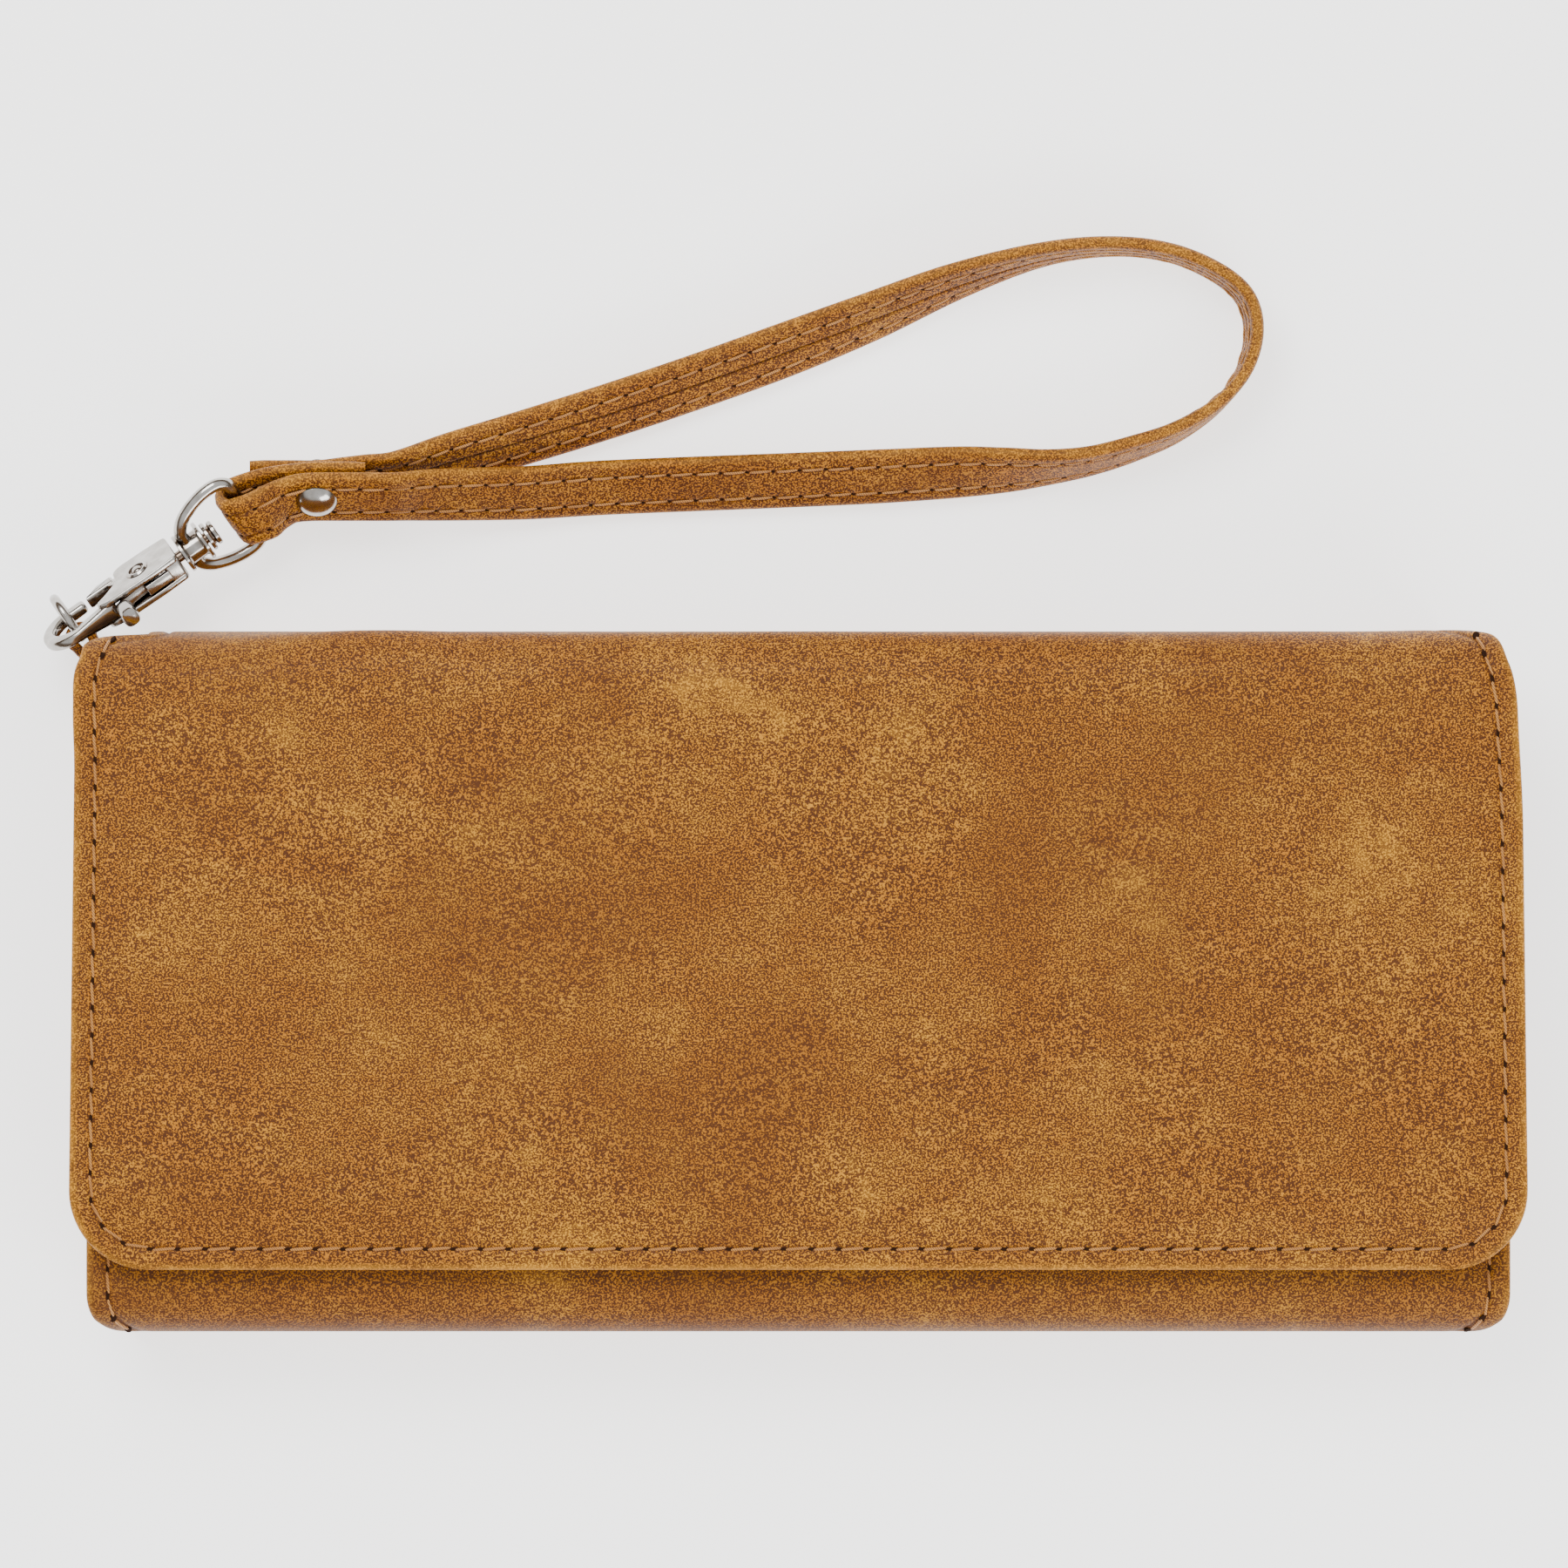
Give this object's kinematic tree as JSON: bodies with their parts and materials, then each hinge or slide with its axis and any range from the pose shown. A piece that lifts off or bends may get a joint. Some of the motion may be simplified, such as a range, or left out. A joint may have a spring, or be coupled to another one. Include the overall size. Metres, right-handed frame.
{
  "type": "wristlet wallet",
  "caption": "Long stitched leather wallet with a fold-over flap, card pockets, a zipped coin pouch and a looped wrist strap on a swivel clip.",
  "frame": {"origin": "centre of the flat back face, which the wallet lies on", "axes": "+X along the wallet's length, +Y towards the top fold, +Z out of the flap"},
  "size_m": [0.2141, 0.1578, 0.026],
  "materials": {
    "leather": "satin pebbled tan leather",
    "lining": "matt woven lining",
    "board": "raw paperboard",
    "nickel": "polished nickel plate",
    "zip_tape": "woven tape",
    "zip_metal": "polished",
    "spring_steel": "bright wire"
  },
  "bodies": {
    "body": {"back_skin": "leather", "back_board": "board", "back_lining": "lining", "top_spine_skin": "leather", "top_spine_lining": "lining", "bottom_spine_skin": "leather", "bottom_spine_lining": "lining", "back_card_pocket_1": "lining", "back_card_pocket_2": "lining", "back_card_pocket_3": "lining", "gusset_left": "leather", "gusset_right": "leather", "coin_pouch_back": "lining", "coin_pouch_front": "lining", "zip_tape_back": "zip_tape", "zip_tape_front": "zip_tape", "zip_chain": "zip_metal", "zip_stop_left": "zip_metal", "zip_stop_right": "zip_metal", "ring_tab": "leather"},
    "flap": {"flap_skin": "leather", "flap_board": "board", "flap_lining": "lining", "snap_stud": "nickel"},
    "front_panel": {"front_skin": "leather", "front_board": "board", "front_lining": "lining", "front_card_pocket_1": "lining", "front_card_pocket_2": "lining", "front_card_pocket_3": "lining", "snap_socket": "nickel"},
    "slider": {"zip_slider": "zip_metal"},
    "pull": {"zip_pull": "zip_metal"},
    "ring": {"tab_ring": "nickel"},
    "clasp": {"clasp_frame": "nickel", "gate_pivot_pin": "nickel", "swivel_pin": "nickel", "gate_spring": "spring_steel"},
    "gate": {"clasp_gate": "nickel"},
    "loop": {"swivel_loop": "nickel"},
    "strap": {"wrist_strap": "leather", "strap_rivet_cap": "nickel", "strap_rivet_back": "nickel"}
  },
  "joints": [
    {"name": "flap_fold", "type": "hinge", "parent": "body", "child": "flap", "pos_m": [0, 0.0502, 0.026], "axis": [-1, 0, 0], "range_deg": [0, 180]},
    {"name": "front_open", "type": "hinge", "parent": "body", "child": "front_panel", "pos_m": [0, -0.0505, 0.0202], "axis": [1, 0, 0], "range_deg": [0, 15], "deforming": ["gusset_left", "gusset_right"]},
    {"name": "zip_slide", "type": "slide", "parent": "body", "child": "slider", "axis": [-1, 0, 0], "range_m": [0, 0.156]},
    {"name": "zip_pull_swing", "type": "hinge", "parent": "slider", "child": "pull", "pos_m": [0.078, 0.0361, 0.009], "axis": [0, 0, -1], "range_deg": [0, 180]},
    {"name": "ring_swing", "type": "hinge", "parent": "body", "child": "ring", "pos_m": [-0.10329, 0.04932, 0.005], "axis": [0, 0, -1], "range_deg": [-70, 0]},
    {"name": "clasp_tilt", "type": "hinge", "parent": "ring", "child": "clasp", "pos_m": [-0.10468, 0.0513, 0.00783], "axis": [-0.5736, 0.8192, 0], "range_deg": [-25, 0]},
    {"name": "gate_swing", "type": "hinge", "parent": "clasp", "child": "gate", "pos_m": [-0.0941, 0.05747, 0.01], "axis": [-0.5198, 0.7424, 0.4226], "range_deg": [0, 20], "stiffness_Nm_per_rad": 0.01, "springref_deg": -20.05},
    {"name": "swivel_spin", "type": "hinge", "parent": "clasp", "child": "loop", "pos_m": [-0.08706, 0.0624, 0.01], "axis": [-0.8192, -0.5736, 0], "continuous": true},
    {"name": "strap_swing", "type": "hinge", "parent": "loop", "child": "strap", "pos_m": [-0.07952, 0.06768, 0.01], "axis": [0.4262, -0.6087, -0.6691], "range_deg": [-60, 5]}
  ],
  "couplings": [
    {"joint": "front_open", "follows": "flap_fold", "ratio": 0.083333}
  ]
}
